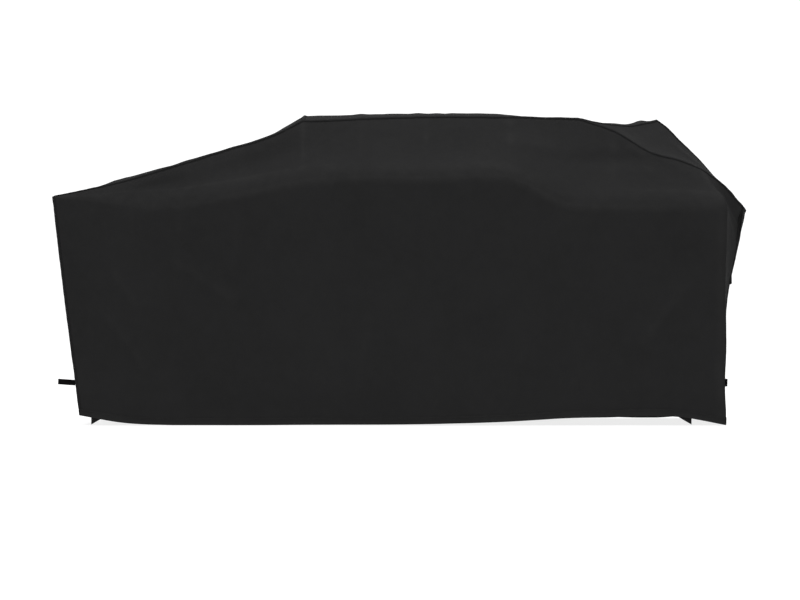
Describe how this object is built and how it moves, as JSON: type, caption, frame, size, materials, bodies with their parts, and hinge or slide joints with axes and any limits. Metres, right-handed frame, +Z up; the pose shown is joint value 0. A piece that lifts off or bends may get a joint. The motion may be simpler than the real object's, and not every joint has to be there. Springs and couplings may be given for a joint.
{
  "type": "grill cover",
  "caption": "Fitted fabric cover for a wide cart-style grill, with sloped hood, seamed panels, buckled end straps, grab handles, rear vents and corner leg straps.",
  "frame": {"origin": "on the ground under the middle of the cover, at the level of the lowest hem", "axes": "+X along the length, to the right as seen from the front; the front faces -Y; +Z up"},
  "size_m": [2.4855, 0.6664, 1.1208],
  "materials": {
    "cover_fabric": "matt PU-coated plain-weave polyester",
    "hem_fabric": "the same cloth folded double and stitched",
    "seam_binding": "ribbed binding tape",
    "webbing": "ribbed flat polyester webbing",
    "buckle_plastic": "lightly textured moulded acetal",
    "vent_mesh": "open knitted mesh",
    "hook_and_loop": "napped hook-and-loop tape"
  },
  "bodies": {
    "cover": {"front_panel": "cover_fabric", "rear_panel": "cover_fabric", "left_slope_panel": "cover_fabric", "top_panel": "cover_fabric", "right_slope_panel": "cover_fabric", "left_end_panel": "cover_fabric", "right_end_panel": "cover_fabric", "front_seam_binding": "seam_binding", "rear_seam_binding": "seam_binding", "left_edge_seam_binding": "seam_binding", "left_ridge_seam_binding": "seam_binding", "right_ridge_seam_binding": "seam_binding", "right_bulge_seam_binding": "seam_binding", "front_hem": "hem_fabric", "rear_hem": "hem_fabric", "left_hem": "hem_fabric", "right_hem": "hem_fabric", "left_front_strap_patch": "webbing", "left_short_strap": "webbing", "left_buckle_socket": "buckle_plastic", "left_long_strap": "webbing", "left_rear_strap_patch": "webbing", "right_front_strap_patch": "webbing", "right_short_strap": "webbing", "right_buckle_socket": "buckle_plastic", "right_long_strap": "webbing", "right_rear_strap_patch": "webbing", "left_handle_front_patch": "webbing", "left_handle_rear_patch": "webbing", "right_handle_front_patch": "webbing", "right_handle_rear_patch": "webbing", "left_vent_mesh": "vent_mesh", "right_vent_mesh": "vent_mesh", "front_left_leg_strap_patch": "webbing", "front_right_leg_strap_patch": "webbing", "rear_left_leg_strap_patch": "webbing", "rear_right_leg_strap_patch": "webbing"},
    "left_plug": {"left_buckle_plug": "buckle_plastic"},
    "left_lower_arm": {"left_buckle_lower_arm": "buckle_plastic"},
    "left_upper_arm": {"left_buckle_upper_arm": "buckle_plastic"},
    "left_tail": {"left_strap_tail": "webbing"},
    "left_handle": {"left_handle": "webbing"},
    "left_vent_flap": {"left_vent_flap": "cover_fabric"},
    "right_plug": {"right_buckle_plug": "buckle_plastic"},
    "right_lower_arm": {"right_buckle_lower_arm": "buckle_plastic"},
    "right_upper_arm": {"right_buckle_upper_arm": "buckle_plastic"},
    "right_tail": {"right_strap_tail": "webbing"},
    "right_handle": {"right_handle": "webbing"},
    "right_vent_flap": {"right_vent_flap": "cover_fabric"},
    "front_left_leg_strap": {"front_left_leg_strap": "hook_and_loop"},
    "front_right_leg_strap": {"front_right_leg_strap": "hook_and_loop"},
    "rear_left_leg_strap": {"rear_left_leg_strap": "hook_and_loop"},
    "rear_right_leg_strap": {"rear_right_leg_strap": "hook_and_loop"}
  },
  "joints": [
    {"name": "left_plug_slide", "type": "slide", "parent": "cover", "child": "left_plug", "axis": [0, 1, 0], "range_m": [0, 0.03], "deforming": ["left_long_strap"]},
    {"name": "left_lower_arm_squeeze", "type": "hinge", "parent": "left_plug", "child": "left_lower_arm", "pos_m": [-1.16611, -0.234, 0.13995], "axis": [-0.9925, 0, -0.1223], "range_deg": [0, 8], "stiffness_Nm_per_rad": 0.05},
    {"name": "left_upper_arm_squeeze", "type": "hinge", "parent": "left_plug", "child": "left_upper_arm", "pos_m": [-1.16775, -0.234, 0.15325], "axis": [0.9925, 0, 0.1223], "range_deg": [0, 8], "stiffness_Nm_per_rad": 0.05},
    {"name": "left_tail_swing", "type": "hinge", "parent": "left_plug", "child": "left_tail", "pos_m": [-1.17348, -0.223, 0.14579], "axis": [0.0698, 0, 0.9976], "range_deg": [-72, 60]},
    {"name": "left_handle_swing", "type": "hinge", "parent": "cover", "child": "left_handle", "pos_m": [-1.21699, 0, 0.56], "axis": [0, 1, 0], "range_deg": [0, 110]},
    {"name": "left_vent_flap_lift", "type": "hinge", "parent": "cover", "child": "left_vent_flap", "pos_m": [-0.55, 0.3324, 0.705], "axis": [1, 0, 0], "range_deg": [0, 75]},
    {"name": "right_plug_slide", "type": "slide", "parent": "cover", "child": "right_plug", "axis": [0, 1, 0], "range_m": [0, 0.03], "deforming": ["right_long_strap"]},
    {"name": "right_lower_arm_squeeze", "type": "hinge", "parent": "right_plug", "child": "right_lower_arm", "pos_m": [1.12551, -0.234, 0.14022], "axis": [-0.9997, 0, 0.0263], "range_deg": [0, 8], "stiffness_Nm_per_rad": 0.05},
    {"name": "right_upper_arm_squeeze", "type": "hinge", "parent": "right_plug", "child": "right_upper_arm", "pos_m": [1.12586, -0.234, 0.15361], "axis": [0.9997, 0, -0.0263], "range_deg": [0, 8], "stiffness_Nm_per_rad": 0.05},
    {"name": "right_tail_swing", "type": "hinge", "parent": "right_plug", "child": "right_tail", "pos_m": [1.13229, -0.223, 0.14674], "axis": [0, 0, 1], "range_deg": [-130, 0]},
    {"name": "right_handle_swing", "type": "hinge", "parent": "cover", "child": "right_handle", "pos_m": [1.18206, 0.085, 0.56], "axis": [0, -1, 0], "range_deg": [0, 110]},
    {"name": "right_vent_flap_lift", "type": "hinge", "parent": "cover", "child": "right_vent_flap", "pos_m": [0.55, 0.3324, 0.705], "axis": [1, 0, 0], "range_deg": [0, 75]},
    {"name": "front_left_leg_strap_swing", "type": "hinge", "parent": "cover", "child": "front_left_leg_strap", "pos_m": [-1.0835, -0.325, 0.072], "axis": [1, 0, 0], "range_deg": [0, 100]},
    {"name": "front_right_leg_strap_swing", "type": "hinge", "parent": "cover", "child": "front_right_leg_strap", "pos_m": [0.972, -0.325, 0.072], "axis": [1, 0, 0], "range_deg": [0, 100]},
    {"name": "rear_left_leg_strap_swing", "type": "hinge", "parent": "cover", "child": "rear_left_leg_strap", "pos_m": [-1.0835, 0.325, 0.072], "axis": [-1, 0, 0], "range_deg": [0, 100]},
    {"name": "rear_right_leg_strap_swing", "type": "hinge", "parent": "cover", "child": "rear_right_leg_strap", "pos_m": [0.972, 0.325, 0.072], "axis": [-1, 0, 0], "range_deg": [0, 100]}
  ],
  "couplings": [
    {"joint": "left_upper_arm_squeeze", "follows": "left_lower_arm_squeeze", "ratio": 1},
    {"joint": "right_upper_arm_squeeze", "follows": "right_lower_arm_squeeze", "ratio": 1}
  ]
}
